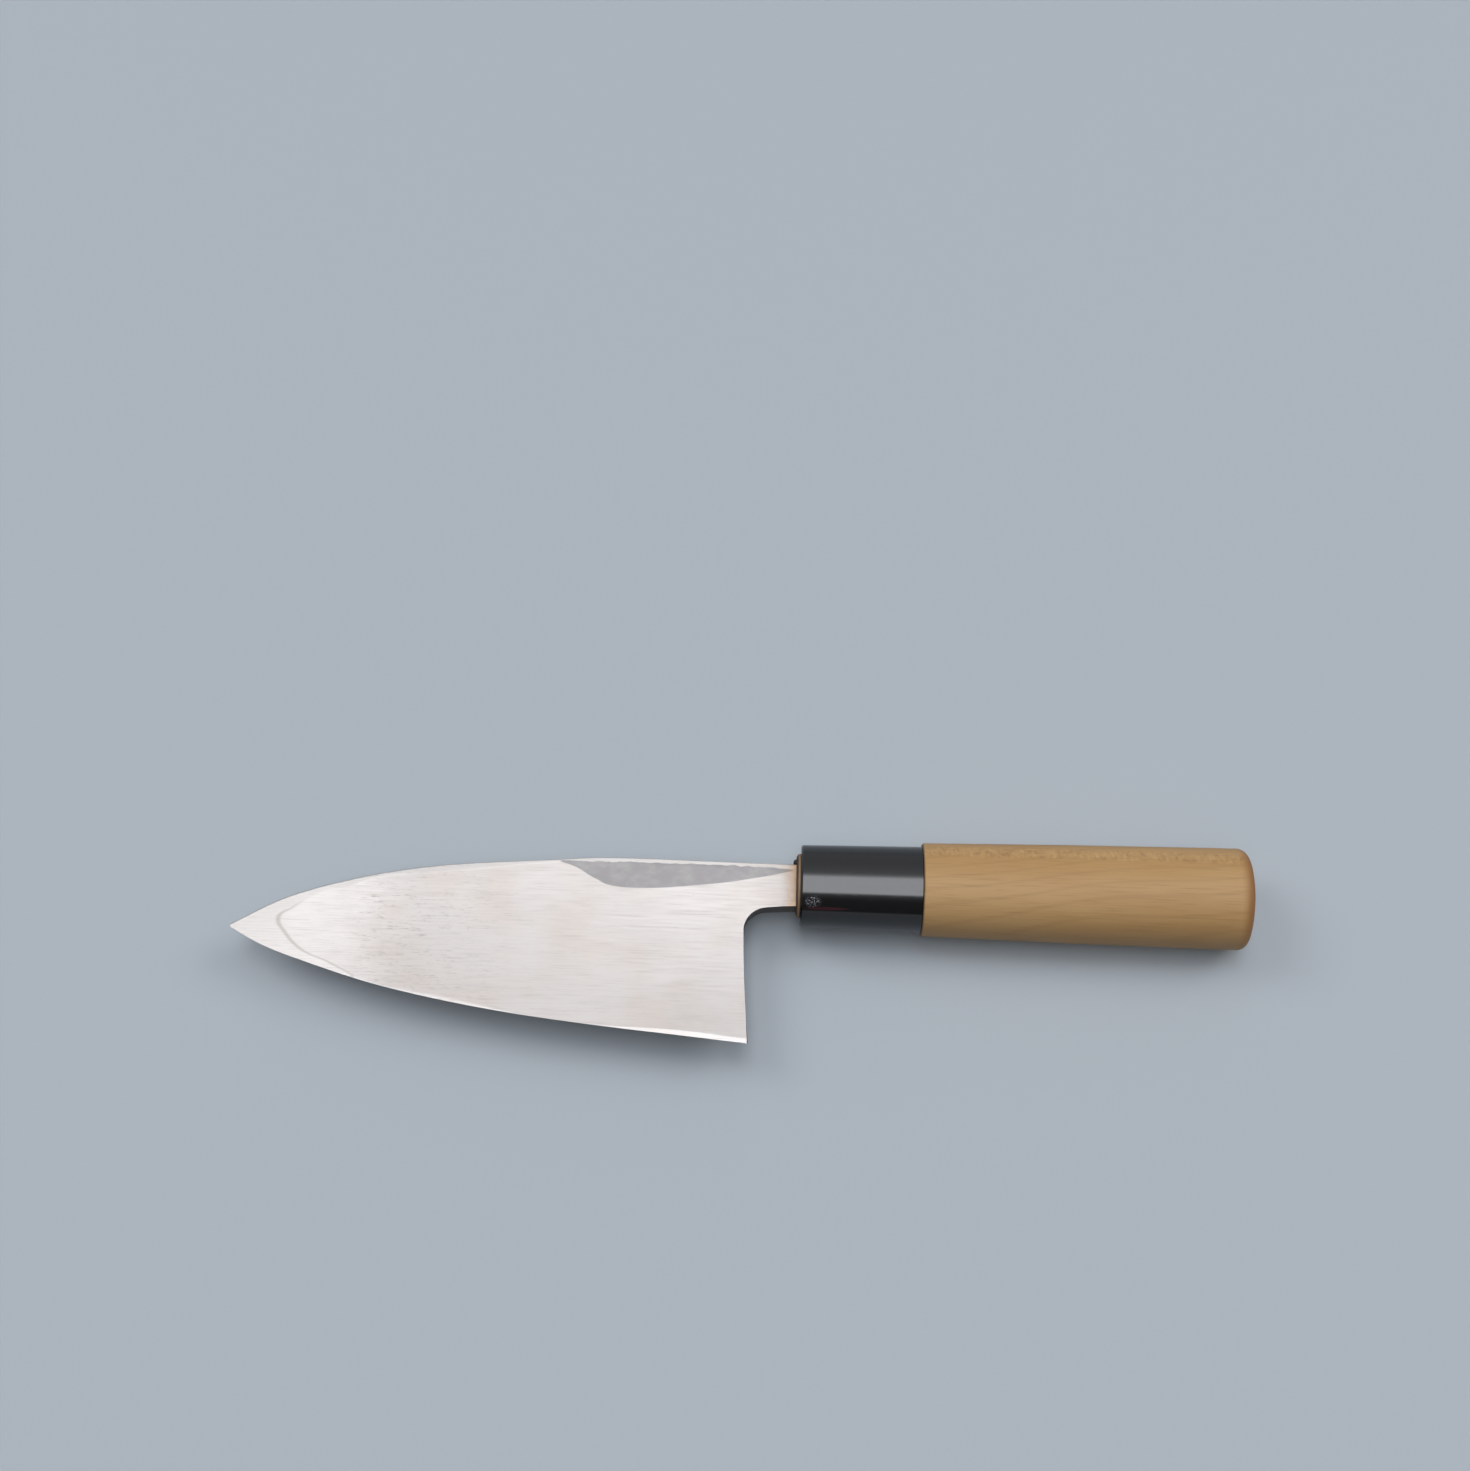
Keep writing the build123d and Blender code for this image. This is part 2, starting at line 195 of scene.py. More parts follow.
# The blade: soft iron with a plate of hard steel forge-welded on its back, ground together and so
# given one finish. Places along it are taken from the ferrule's mouth, and places across it from
# the handle's axis. A cut is where a pattern starts to show and where it shows in full, and a share
# is how much of its colour shows there.
blade = {
    "steelColour": "#BCB7B3",
    "warmColour": "#BAB2AC",
    # the polished rim, painted a little lighter as a painted sheen
    "rimSheenColour": "#C6C3C0",
    # the tip's colour, partly a painted reflection
    "tipSheenColour": "#D2CDC9",
    "streakColour": "#A9A39E",
    "dashColour": "#99938D",
    # the line at the tip's hollow border, partly painted shade
    "lineColour": "#A39E96",
    "pitColour": "#8F8C88",
    "tanColour": "#A07F5C",
    "scaleColour": "#979494",
    "scaleSpotColour": "#A2A09E",
    # a painted highlight on the spine's eased corner
    "spineGlintColour": "#F2F1EF",
    # forge skin, darkened further as painted shade
    "skinAndShadeColour": "#3A332F",
    "roughness": (0.306, 0.432),            # between the streaks and on them
    "rimRoughness": 0.3,
    "scaleRoughness": 0.5,
    "streakDepth": 0.02 * mm,
    "streakRelief": 0.2,
    # The wheel's real scratches are too fine to show, so the streaks and dashes are drawn coarser
    "patterns": {
        "streaks": {"size": (9.0, 0.28, 0.28), "detail": 4.0, "rough": 0.6, "turn": -2},
        "mottle": {"size": (15.0, 15.0, 15.0), "detail": 3.0},
        "clouds": {"size": (9.0, 5.0, 5.0), "detail": 4.0, "rough": 0.6},
        "dashes": {"size": (2.6, 0.3, 0.3), "detail": 3.0, "rough": 0.6, "turn": -2},
        "smudges": {"size": (2.6, 1.2, 1.2), "detail": 3.0, "rough": 0.65, "turn": 17.2},
        "ripple": {"size": (2.0, 2.0, 2.0), "detail": 2.0},
        "wave": {"size": (3.5, 3.5, 3.5), "detail": 3.0},
        "spots": {"size": (3.5, 2.2, 2.2), "detail": 3.0, "rough": 0.55},
    },
    "warmCut": (0.42, 0.68),
    "streakCut": (0.45, 0.85),
    "streakShare": 0.7,
    "roughnessCut": (0.2, 0.8),
    "flatTolerance": math.radians(0.02),
    "hollowTolerance": math.radians(3.4),   # steeper than any part of the hollow
    "rimBorder": 0.012 * mm,                # how far below the rim its polish ends
    "rimEnd": (-4 * mm, -14 * mm),          # the polish of the rim fades out on the neck
    "rimSheenShare": 0.5,
    "tipPolish": -87.05 * mm,               # the last grinding pass runs from about here to the tip, which is also painted brighter as a painted reflection
    "polishFade": 27 * mm,
    "cloudReach": 24 * mm,                  # how far its border wanders
    # Marks of a coarser grit, most of them behind the tip
    "markStart": (-108 * mm, -98 * mm),
    "markEnd": (-58 * mm, -86 * mm),
    "smudgeCut": (0.56, 0.74),
    "smudgeShare": 0.35,
    "dashCut": (0.56, 0.70),
    "dashShare": 0.75,
    "dashElsewhere": 0.25,                  # what is left of the dashes where few show
    "dashClouds": (0.35, 0.6),
    # Where the flat at the tip meets the hollow: places across the blade, and how far along it the
    # line is there
    "hollowLine": [
        (-25.7, -102.0), (-22.8, -107.7), (-19.8, -114.5), (-15.7, -118.6), (-12.7, -120.3),
        (-9.7, -117.1), (-7.8, -114.6), (-5.5, -111.0),
    ],
    "lineWidth": (0.09 * mm, 0.9 * mm),     # to each side: its core, and its soft border
    "lineShare": 0.6,
    "lineEnd": (-6 * mm, -12 * mm),
    "pitSpacing": 13 * mm,
    "pitRadius": (0.085 * mm, 0.17 * mm),   # a pit's core, and its soft border
    "pitShare": 0.8,
    "tanLength": 5.2 * mm,                  # heat and resin tint on the neck, ahead of the ferrule
    "tanWave": 2 * mm,
    "tanShare": 0.9,
    # Forge scale that the grinding left, as places along the blade and across it
    "scaleBorder": [
        (-56.5, 3.5), (-53.4, 2.6), (-47.5, -0.6), (-43.4, -2.2), (-39.6, -2.5), (-22.8, -1.2),
        (-10.1, 0.9), (-1.4, 2.9),
    ],
    "scaleTop": [(-56.5, 3.95), (-20.0, 3.95), (-7.0, 3.75), (-5.0, 3.4), (-1.0, 3.2)],
    "scaleWave": 1.2 * mm,
    "scaleSoftness": (0.25 * mm, 0.2 * mm, 1.0 * mm),   # of its lower border, its top and its front
    "spotCut": (0.35, 0.75),
    # The spine's eased corner is buffed, and painted near white as a painted highlight: how far its
    # faces turn towards the spine, and upwards
    "spineTurn": (0.08, 0.3),
    "spineRise": (0.2, 0.6),
    "spineGlintShare": 0.9,
    # Forge skin left on the choil and under the neck, painted darker as painted shade on these
    # faces
    "skinAlong": (-14 * mm, -13 * mm),
    "skinAcross": (3 * mm, 1 * mm),
    "skinTurn": (0.45, 0.7),                # on faces that turn up or down less than this
    "skinAndShadeShare": 0.85,
    "backDepth": (2.0 * mm, 1.2 * mm),      # marks of the back end this far below its rim
}


def groundSteel(name):
    # Carbon steel, ground along the blade and finished on a fine wheel: bright, with a soft sheen
    # broken by short lengthwise streaks.
    material, tree, surface = startMaterial(name)
    source = addNode(tree, "TexCoord")
    coords = source.outputs["Object"]
    patterns = layPatterns(tree, coords, blade["patterns"])
    place = addNode(tree, "SeparateXYZ", {0: coords})
    height = place.outputs[2]
    alongKnife = addNode(tree, "Math", {0: place.outputs[0], 1: mouthX}, **difference)
    fromAxis = addNode(tree, "Math", {0: place.outputs[1], 1: axisY}, **difference)

    low, high = blade["warmCut"]
    warm = addNode(tree, "MapRange", {0: patterns["mottle"], 1: low, 2: high}, **smooth)
    low, high = blade["streakCut"]
    streakInputs = {0: patterns["streaks"], 1: low, 2: high, 3: 0.0, 4: blade["streakShare"]}
    streaked = addNode(tree, "MapRange", streakInputs, **smooth)

    # The flat rim round the hollow is kept polished by the whetstone, and is painted lighter as a
    # painted sheen
    rimLow = rimHeight - blade["rimBorder"]
    onRim = addNode(tree, "MapRange", {0: height, 1: rimLow, 2: rimHeight}, **smooth)
    low, high = blade["rimEnd"]
    aheadOfNeck = addNode(tree, "MapRange", {0: alongKnife, 1: low, 2: high}, **smooth)
    onRim = addNode(tree, "Math", {0: onRim, 1: aheadOfNeck}, **product)
    rimSheen = addNode(tree, "Math", {0: onRim, 1: blade["rimSheenShare"]}, **product)

    # The last grinding pass left the tip brighter, up to a cloudy border, and the tip is painted
    # brighter
    #     # still as a painted reflection. Noise is one half on average, so half of what a border
    #     wanders comes off, here and below.
    middle = blade["tipPolish"] - blade["cloudReach"] / 2
    borderInputs = {0: patterns["clouds"], 1: blade["cloudReach"], 2: middle}
    border = addNode(tree, "Math", borderInputs, **multiplyAdd)
    towardsTip = addNode(tree, "Math", {0: border, 1: alongKnife}, **difference)
    polished = addNode(tree, "MapRange", {0: towardsTip, 1: 0.0, 2: blade["polishFade"]}, **smooth)

    # Smudges and short dashes of a coarser grit
    low, high = blade["markStart"]
    behindStart = addNode(tree, "MapRange", {0: alongKnife, 1: low, 2: high}, **smooth)
    low, high = blade["markEnd"]
    aheadOfEnd = addNode(tree, "MapRange", {0: alongKnife, 1: low, 2: high}, **smooth)
    marked = addNode(tree, "Math", {0: behindStart, 1: aheadOfEnd}, **product)
    low, high = blade["smudgeCut"]
    smudgeInputs = {0: patterns["smudges"], 1: low, 2: high, 3: 0.0, 4: blade["smudgeShare"]}
    smudged = addNode(tree, "MapRange", smudgeInputs, **smooth)
    smudged = addNode(tree, "Math", {0: smudged, 1: marked}, **product)
    elsewhere = blade["dashElsewhere"]
    anyMarked = addNode(tree, "MapRange", {0: marked, 3: elsewhere})
    low, high = blade["dashClouds"]
    cloudInputs = {0: patterns["clouds"], 1: low, 2: high, 3: elsewhere}
    cloudy = addNode(tree, "MapRange", cloudInputs, **smooth)
    low, high = blade["dashCut"]
    dashInputs = {0: patterns["dashes"], 1: low, 2: high, 3: 0.0, 4: blade["dashShare"]}
    dashed = addNode(tree, "MapRange", dashInputs, **smooth)
    for area in (anyMarked, cloudy):
        dashed = addNode(tree, "Math", {0: dashed, 1: area}, **product)

    # The line and the scale below belong to the hollow back alone
    low, high = (rimHeight - depth for depth in blade["backDepth"])
    onBack = addNode(tree, "MapRange", {0: height, 1: low, 2: high}, **smooth)

    # A darker line where the tip's flat meets the hollow: partly a change of finish, partly painted
    # shade of the steep turn between them
    lineX = curveThrough(tree, fromAxis, blade["hollowLine"])
    offLine = addNode(tree, "Math", {0: alongKnife, 1: lineX}, **difference)
    offLine = addNode(tree, "Math", {0: offLine}, **withoutSign)
    low, high = blade["lineWidth"]
    lineInputs = {0: offLine, 1: low, 2: high, 3: blade["lineShare"], 4: 0.0}
    onLine = addNode(tree, "MapRange", lineInputs, **smooth)
    low, high = blade["lineEnd"]
    beforeEnd = addNode(tree, "MapRange", {0: fromAxis, 1: low, 2: high}, **smooth)
    for area in (beforeEnd, onBack):
        onLine = addNode(tree, "Math", {0: onLine, 1: area}, **product)

    # A few rust pits
    pits = addNode(tree, "TexVoronoi", {"Vector": coords, "Scale": 1 / blade["pitSpacing"]})
    fromPit = addNode(tree, "Math", {0: pits, 1: blade["pitSpacing"]}, **product)
    low, high = blade["pitRadius"]
    pitInputs = {0: fromPit, 1: low, 2: high, 3: blade["pitShare"], 4: 0.0}
    pitted = addNode(tree, "MapRange", pitInputs, **smooth)

    # Tan tint on the neck
    tintInputs = {0: patterns["ripple"], 1: blade["tanWave"], 2: -blade["tanWave"] / 2}
    tintEdge = addNode(tree, "Math", tintInputs, **multiplyAdd)
    tintAt = addNode(tree, "Math", {0: alongKnife, 1: tintEdge}, operation="ADD")
    tintInputs = {0: tintAt, 1: -blade["tanLength"], 2: 0.0, 3: 0.0, 4: blade["tanShare"]}
    tinted = addNode(tree, "MapRange", tintInputs, **smooth)

    # Forge scale along the spine, with a wavy top
    lowerSoft, topSoft, frontSoft = blade["scaleSoftness"]
    lower = curveThrough(tree, alongKnife, blade["scaleBorder"])
    overLower = addNode(tree, "Math", {0: fromAxis, 1: lower}, **difference)
    overLower = addNode(tree, "MapRange", {0: overLower, 1: 0.0, 2: lowerSoft}, **smooth)
    waveInputs = {0: patterns["wave"], 1: blade["scaleWave"], 2: -blade["scaleWave"] / 2}
    wavy = addNode(tree, "Math", waveInputs, **multiplyAdd)
    wavy = addNode(tree, "Math", {0: fromAxis, 1: wavy}, operation="ADD")
    top = curveThrough(tree, alongKnife, blade["scaleTop"])
    underTop = addNode(tree, "Math", {0: top, 1: wavy}, **difference)
    underTop = addNode(tree, "MapRange", {0: underTop, 1: 0.0, 2: topSoft}, **smooth)
    front = blade["scaleBorder"][0][0] * mm
    scaled = addNode(tree, "MapRange", {0: alongKnife, 1: front, 2: front + frontSoft}, **smooth)
    for area in (overLower, underTop, onBack):
        scaled = addNode(tree, "Math", {0: scaled, 1: area}, **product)
    low, high = blade["spotCut"]
    spotted = addNode(tree, "MapRange", {0: patterns["spots"], 1: low, 2: high}, **smooth)
    spotted = addNode(tree, "Math", {0: spotted, 1: scaled}, **product)

    # The corner between the back and the spine is buffed, and painted near white as a painted
    # highlight on the faces that turn up and towards the spine
    turned = addNode(tree, "SeparateXYZ", {0: source.outputs["Normal"]})
    low, high = blade["spineTurn"]
    spineInputs = {0: turned.outputs[1], 1: low, 2: high, 3: 0.0, 4: blade["spineGlintShare"]}
    buffed = addNode(tree, "MapRange", spineInputs, **smooth)
    low, high = blade["spineRise"]
    raised = addNode(tree, "MapRange", {0: turned.outputs[2], 1: low, 2: high}, **smooth)
    buffed = addNode(tree, "Math", {0: buffed, 1: raised}, **product)

    # Dark forge skin on the choil and under the neck, which the grinding never touches; the dark
    # colour there is also painted shade on faces that turn away from the light
    upright = addNode(tree, "Math", {0: turned.outputs[2]}, **withoutSign)
    low, high = blade["skinTurn"]
    skin = addNode(tree, "MapRange", {0: upright, 1: low, 2: high, 3: 1.0, 4: 0.0}, **smooth)
    low, high = blade["skinAcross"]
    below = addNode(tree, "MapRange", {0: fromAxis, 1: low, 2: high}, **smooth)
    low, high = blade["skinAlong"]
    behind = addNode(tree, "MapRange", {0: alongKnife, 1: low, 2: high}, **smooth)
    for area in (below, behind):
        skin = addNode(tree, "Math", {0: skin, 1: area}, **product)
    skinAndShade = addNode(tree, "Math", {0: skin, 1: blade["skinAndShadeShare"]}, **product)

    colour = toLinear(blade["steelColour"])
    layers = [
        ("warmColour", warm), ("rimSheenColour", rimSheen), ("tipSheenColour", polished),
        ("streakColour", streaked), ("dashColour", smudged), ("dashColour", dashed),
        ("lineColour", onLine), ("pitColour", pitted), ("scaleColour", scaled),
        ("scaleSpotColour", spotted), ("spineGlintColour", buffed), ("tanColour", tinted),
        ("skinAndShadeColour", skinAndShade),
    ]
    for name, share in layers:
        colour = addNode(tree, "Mix", {0: share, 6: colour, 7: toLinear(blade[name])}, **colours)
    tree.links.new(colour.outputs[2], surface.inputs["Base Color"])
    surface.inputs["Metallic"].default_value = 1.0

    low, high = blade["roughnessCut"]
    smoothest, roughest = blade["roughness"]
    roughInputs = {0: patterns["streaks"], 1: low, 2: high, 3: smoothest, 4: roughest}
    rough = addNode(tree, "MapRange", roughInputs, **smooth)
    rough = addNode(tree, "Mix", {0: onRim, 2: rough, 3: blade["rimRoughness"]})
    unground = addNode(tree, "Math", {0: scaled, 1: skin}, operation="MAXIMUM")
    rough = addNode(tree, "Mix", {0: unground, 2: rough, 3: blade["scaleRoughness"]})
    tree.links.new(rough.outputs[0], surface.inputs["Roughness"])
    strength, depth = blade["streakRelief"], blade["streakDepth"]
    bumpInputs = {"Strength": strength, "Distance": depth, "Height": patterns["streaks"]}
    relief = addNode(tree, "Bump", bumpInputs)
    tree.links.new(relief.outputs[0], surface.inputs["Normal"])
    return material


steelPlate = dressNode("blade_steel", "hardSteelBack", groundSteel("ground carbon steel"))
ironBody = dressNode("blade_iron", "softIronBody", groundSteel("brushed soft iron"))
backSide = Vector((0, 0, 1))
for piece in (steelPlate, ironBody):
    crispFlat(piece, backSide, blade["flatTolerance"])
    crispFlat(piece, backSide, blade["hollowTolerance"])
mounts = {mount["name"]: mount for mount in frame["record"]["mounts"]}
bevelSide = Vector(mounts["bevel_side_flat"]["axis"])
crispFlat(ironBody, bevelSide, blade["flatTolerance"])
print("blade ready")

# The handle: one piece of magnolia
handle = {
    "woodColour": "#BA9563",
    "woodWarm": "#B48D5A",
    "woodDark": "#916D46",
    "ringColour": "#A07B4E",
    "fleckColour": "#CBA672",
    "flankShadeColour": "#8B6739",
    # painted shade on both flanks
    "tenonColour": "#9C7E5E",
    "burntColour": "#3F2A1B",
    "endGrainColour": "#90602F",
    "roughness": 0.55,
    "fibreDepth": 0.03 * mm,
    "fibreRelief": 0.3,
    # Real fibres are too fine to show, so they are drawn coarser
    "patterns": {
        "fibres": {"size": (11.0, 0.3, 0.3), "detail": 4.0, "rough": 0.6},
        "patches": {"size": (45.0, 7.0, 7.0), "detail": 2.0},
        "bend": {"size": (60.0, 16.0, 16.0), "detail": 1.0},
        "flecks": {"size": (1.0, 1.8, 1.8), "detail": 3.0, "rough": 0.6},
        "ripple": {"size": (1.5, 1.5, 1.5), "detail": 2.0},
    },
    "patchCut": (0.35, 0.65),
    "fibreCut": (0.48, 0.80),
    "fibreShare": 0.6,
    "ringSpacing": 3.4 * mm,
    "ringSlope": math.radians(7.0),
    "ringSway": 9 * mm,                     # how far the rings bend
    "ringFlatness": 0.8,
    "ringCut": (0.80, 1.0),
    "ringShare": 0.25,
    "fleckPlace": 6.8 * mm,                 # a band of ray flecks, this far from the axis
    "fleckReach": (0.69 * mm, 2.3 * mm),    # from its middle: its core, and its soft border
    "darkFleckCut": (0.50, 0.68),
    "darkFleckShare": 0.6,
    "paleFleckCut": (0.48, 0.32),
    "paleFleckShare": 0.5,
    "flankTurn": (0.2, 0.92),               # on faces that turn up or down less than this
    "flankShadeShare": 0.5,
    "tenonSoftness": 0.1 * mm,
    "burntDepth": 0.2 * mm,
    "burntWave": 0.2 * mm,
    "burntShare": 0.9,
    "grimeDepth": 0.3 * mm,
    "grimeShare": 0.9,
    # painted shade in the joint behind the ferrule
    "jointShadeShare": 0.7,
    "endDepth": (4.4 * mm, 1.6 * mm),       # before the butt: its soft border, and its core
    "endShare": 0.85,
}


def sandedMagnolia():
    # Magnolia, sanded and left bare: pale tan and even, with fine straight fibres, faint growth
    # rings and a band of ray flecks. The mouth of the slot is browned by the hot tang.
    material, tree, surface = startMaterial("sanded magnolia")
    source = addNode(tree, "TexCoord")
    coords = source.outputs["Object"]
    patterns = layPatterns(tree, coords, handle["patterns"])
    place = addNode(tree, "SeparateXYZ", {0: coords})
    alongX = place.outputs[0]
    low, high = handle["patchCut"]
    warm = addNode(tree, "MapRange", {0: patterns["patches"], 1: low, 2: high}, **smooth)
    low, high = handle["fibreCut"]
    fibreInputs = {0: patterns["fibres"], 1: low, 2: high, 3: 0.0, 4: handle["fibreShare"]}
    dark = addNode(tree, "MapRange", fibreInputs, **smooth)

    # Growth rings, across the turned grain
    slope = (0, 0, -handle["ringSlope"])
    flattened = (1.0, 1.0, handle["ringFlatness"])
    ringPlace = addNode(tree, "Mapping", {"Vector": coords, "Rotation": slope, "Scale": flattened})
    sway = addNode(tree, "Math", {0: patterns["bend"], 1: handle["ringSway"]}, **product)
    sway = addNode(tree, "CombineXYZ", {1: sway})
    ringPlace = addNode(tree, "VectorMath", {0: ringPlace, 1: sway}, operation="ADD")
    bandSpacing = math.tau / 20             # between a Wave Texture's bands at a scale of 1
    ringScale = bandSpacing / handle["ringSpacing"]
    waveInputs = {"Vector": ringPlace, "Scale": ringScale, "Distortion": 0.0}
    rings = addNode(tree, "TexWave", waveInputs, bands_direction="Y").outputs["Fac"]
    low, high = handle["ringCut"]
    ringInputs = {0: rings, 1: low, 2: high, 3: 0.0, 4: handle["ringShare"]}
    ringed = addNode(tree, "MapRange", ringInputs, **smooth)

    # A band of ray flecks along the spine's side
    bandY = axisY + handle["fleckPlace"]
    fromBand = addNode(tree, "Math", {0: place.outputs[1], 1: bandY}, **difference)
    fromBand = addNode(tree, "Math", {0: fromBand}, **withoutSign)
    low, high = handle["fleckReach"]
    inBand = addNode(tree, "MapRange", {0: fromBand, 1: low, 2: high, 3: 1.0, 4: 0.0}, **smooth)
    flecked = {}
    for kind in ("darkFleck", "paleFleck"):
        low, high = handle[kind + "Cut"]
        fleckInputs = {0: patterns["flecks"], 1: low, 2: high, 3: 0.0, 4: handle[kind + "Share"]}
        share = addNode(tree, "MapRange", fleckInputs, **smooth)
        flecked[kind] = addNode(tree, "Math", {0: share, 1: inBand}, **product)

    # Painted shade: both flanks, the faces that turn sideways, are painted darker
    upright = addNode(tree, "SeparateXYZ", {0: source.outputs["Normal"]}).outputs[2]
    upright = addNode(tree, "Math", {0: upright}, **withoutSign)
    low, high = handle["flankTurn"]
    flankInputs = {0: upright, 1: low, 2: high, 3: handle["flankShadeShare"], 4: 0.0}
    flankShade = addNode(tree, "MapRange", flankInputs, **smooth)

    # The tenon's end: browned at its very front, with grime where it leaves the ferrule's mouth.
    #     # The wood just behind the ferrule is painted dark as painted shade in that joint
    tenonInputs = {0: alongX, 1: mouthX, 2: mouthX + handle["tenonSoftness"], 3: 1.0, 4: 0.0}
    tenon = addNode(tree, "MapRange", tenonInputs, **smooth)
    grip = addNode(tree, "Math", {0: 1.0, 1: tenon}, **difference)
    wave = addNode(tree, "Math", {0: patterns["ripple"], 1: handle["burntWave"]}, **product)
    wavyX = addNode(tree, "Math", {0: alongX, 1: wave}, **difference)
    burntEnd = woodLow[0] + handle["burntDepth"]
    burntInputs = {0: wavyX, 1: woodLow[0], 2: burntEnd, 3: handle["burntShare"], 4: 0.0}
    burnt = addNode(tree, "MapRange", burntInputs, **smooth)
    reach = handle["grimeDepth"]
    grimeInputs = {0: alongX, 1: mouthX - reach, 2: mouthX, 3: 0.0, 4: handle["grimeShare"]}
    grime = addNode(tree, "MapRange", grimeInputs, **smooth)
    grime = addNode(tree, "Math", {0: grime, 1: tenon}, **product)
    rearX = ferruleHigh[0]
    jointInputs = {0: alongX, 1: rearX, 2: rearX + reach, 3: handle["jointShadeShare"], 4: 0.0}
    jointShade = addNode(tree, "MapRange", jointInputs, **smooth)
    jointShade = addNode(tree, "Math", {0: jointShade, 1: grip}, **product)

    # The butt's end grain is darker
    low, high = (woodHigh[0] - depth for depth in handle["endDepth"])
    endInputs = {0: alongX, 1: low, 2: high, 3: 0.0, 4: handle["endShare"]}
    endGrain = addNode(tree, "MapRange", endInputs, **smooth)

    colour = toLinear(handle["woodColour"])
    layers = [
        ("woodWarm", warm), ("ringColour", ringed), ("woodDark", dark),
        ("woodDark", flecked["darkFleck"]), ("fleckColour", flecked["paleFleck"]),
        ("flankShadeColour", flankShade), ("tenonColour", tenon), ("burntColour", burnt),
        ("burntColour", grime), ("burntColour", jointShade), ("endGrainColour", endGrain),
    ]
    for name, share in layers:
        colour = addNode(tree, "Mix", {0: share, 6: colour, 7: toLinear(handle[name])}, **colours)
    tree.links.new(colour.outputs[2], surface.inputs["Base Color"])
    surface.inputs["Roughness"].default_value = handle["roughness"]
    strength, depth = handle["fibreRelief"], handle["fibreDepth"]
    bumpInputs = {"Strength": strength, "Distance": depth, "Height": patterns["fibres"]}
    relief = addNode(tree, "Bump", bumpInputs)
    tree.links.new(relief.outputs[0], surface.inputs["Normal"])
    return material


dressNode("handle_wood", "magnoliaHandle", sandedMagnolia())
print("handle ready")

# The ferrule: a moulded tube, rubbed at two places on the side of the hollow back
ferrule = {
    "resinColour": "#0A0A0B",
    "smearColour": "#4A2028",
    "scuffColour": "#8C8C90",
    "ior": 1.62,
    "roughness": (0.06, 0.2),                       # where it is glossiest, and where rubbed
    "patterns": {
        "rubs": {"size": (3.0, 1.2, 1.2), "detail": 4.0},
        "specks": {"size": (0.24, 0.24, 0.24), "detail": 2.0},
    },
    "rubCut": (0.45, 0.8),
    "speckCut": (0.54, 0.60),
    "scuffRoughness": 0.3,
    # Each of the two is an oval: its middle and half its size
    "scuffPlace": (mouthX + 2.8 * mm, axisY - 6.2 * mm, 0),
    "scuffSize": (2.3 * mm, 1.4 * mm),
    "smearPlace": (mouthX + 6.0 * mm, axisY - 7.5 * mm, 0),
    "smearSize": (6.5 * mm, 0.35 * mm),
    "smearShare": 0.6,
    "ovalBorder": (0.45, 1.0),
    "backHeight": (axisZ, axisZ + 1 * mm),          # both stay on the side of the hollow back
}


def buffedResin():
    # Black phenolic resin, moulded and buffed: a hard mirror-like gloss with faint rubbing marks, a
    # speckled scuff near the mouth and a red smear.
    material, tree, surface = startMaterial("buffed black resin")
    coords = addNode(tree, "TexCoord").outputs["Object"]
    patterns = layPatterns(tree, coords, ferrule["patterns"])
    height = addNode(tree, "SeparateXYZ", {0: coords}).outputs[2]
    low, high = ferrule["backHeight"]
    onBack = addNode(tree, "MapRange", {0: height, 1: low, 2: high}, **smooth)
    ovals = {}
    for name in ("scuff", "smear"):
        length, width = ferrule[name + "Size"]
        offset = addNode(tree, "VectorMath", {0: coords, 1: ferrule[name + "Place"]}, **difference)
        offset = addNode(tree, "VectorMath", {0: offset, 1: (1 / length, 1 / width, 0)}, **product)
        reach = addNode(tree, "VectorMath", {0: offset}, operation="LENGTH")
        low, high = ferrule["ovalBorder"]
        inside = addNode(tree, "MapRange", {0: reach, 1: low, 2: high, 3: 1.0, 4: 0.0}, **smooth)
        ovals[name] = addNode(tree, "Math", {0: inside, 1: onBack}, **product)
    low, high = ferrule["speckCut"]
    specks = addNode(tree, "MapRange", {0: patterns["specks"], 1: low, 2: high}, **smooth)
    scuffed = addNode(tree, "Math", {0: ovals["scuff"], 1: specks}, **product)
    smeared = addNode(tree, "Math", {0: ovals["smear"], 1: ferrule["smearShare"]}, **product)

    colour = toLinear(ferrule["resinColour"])
    for name, share in (("smearColour", smeared), ("scuffColour", scuffed)):
        colour = addNode(tree, "Mix", {0: share, 6: colour, 7: toLinear(ferrule[name])}, **colours)
    tree.links.new(colour.outputs[2], surface.inputs["Base Color"])
    low, high = ferrule["rubCut"]
    glossiest, dullest = ferrule["roughness"]
    rubInputs = {0: patterns["rubs"], 1: low, 2: high, 3: glossiest, 4: dullest}
    rubbed = addNode(tree, "MapRange", rubInputs, **smooth)
    roughInputs = {0: scuffed, 1: ferrule["scuffRoughness"], 2: rubbed}
    rough = addNode(tree, "Math", roughInputs, **multiplyAdd)
    tree.links.new(rough.outputs[0], surface.inputs["Roughness"])
    surface.inputs["IOR"].default_value = ferrule["ior"]
    return material


dressNode("ferrule", "resinFerrule", buffedResin())
print("ferrule ready")

# The seal round the neck, in the mouth of the slot
seal = {
    "colour": "#2A1C14",
    "roughness": 0.45,
    "lumpDepth": 0.1 * mm,
    "lumpRelief": 0.5,
    "patterns": {"lumps": {"size": (0.8, 0.8, 0.8), "detail": 3.0}},
}


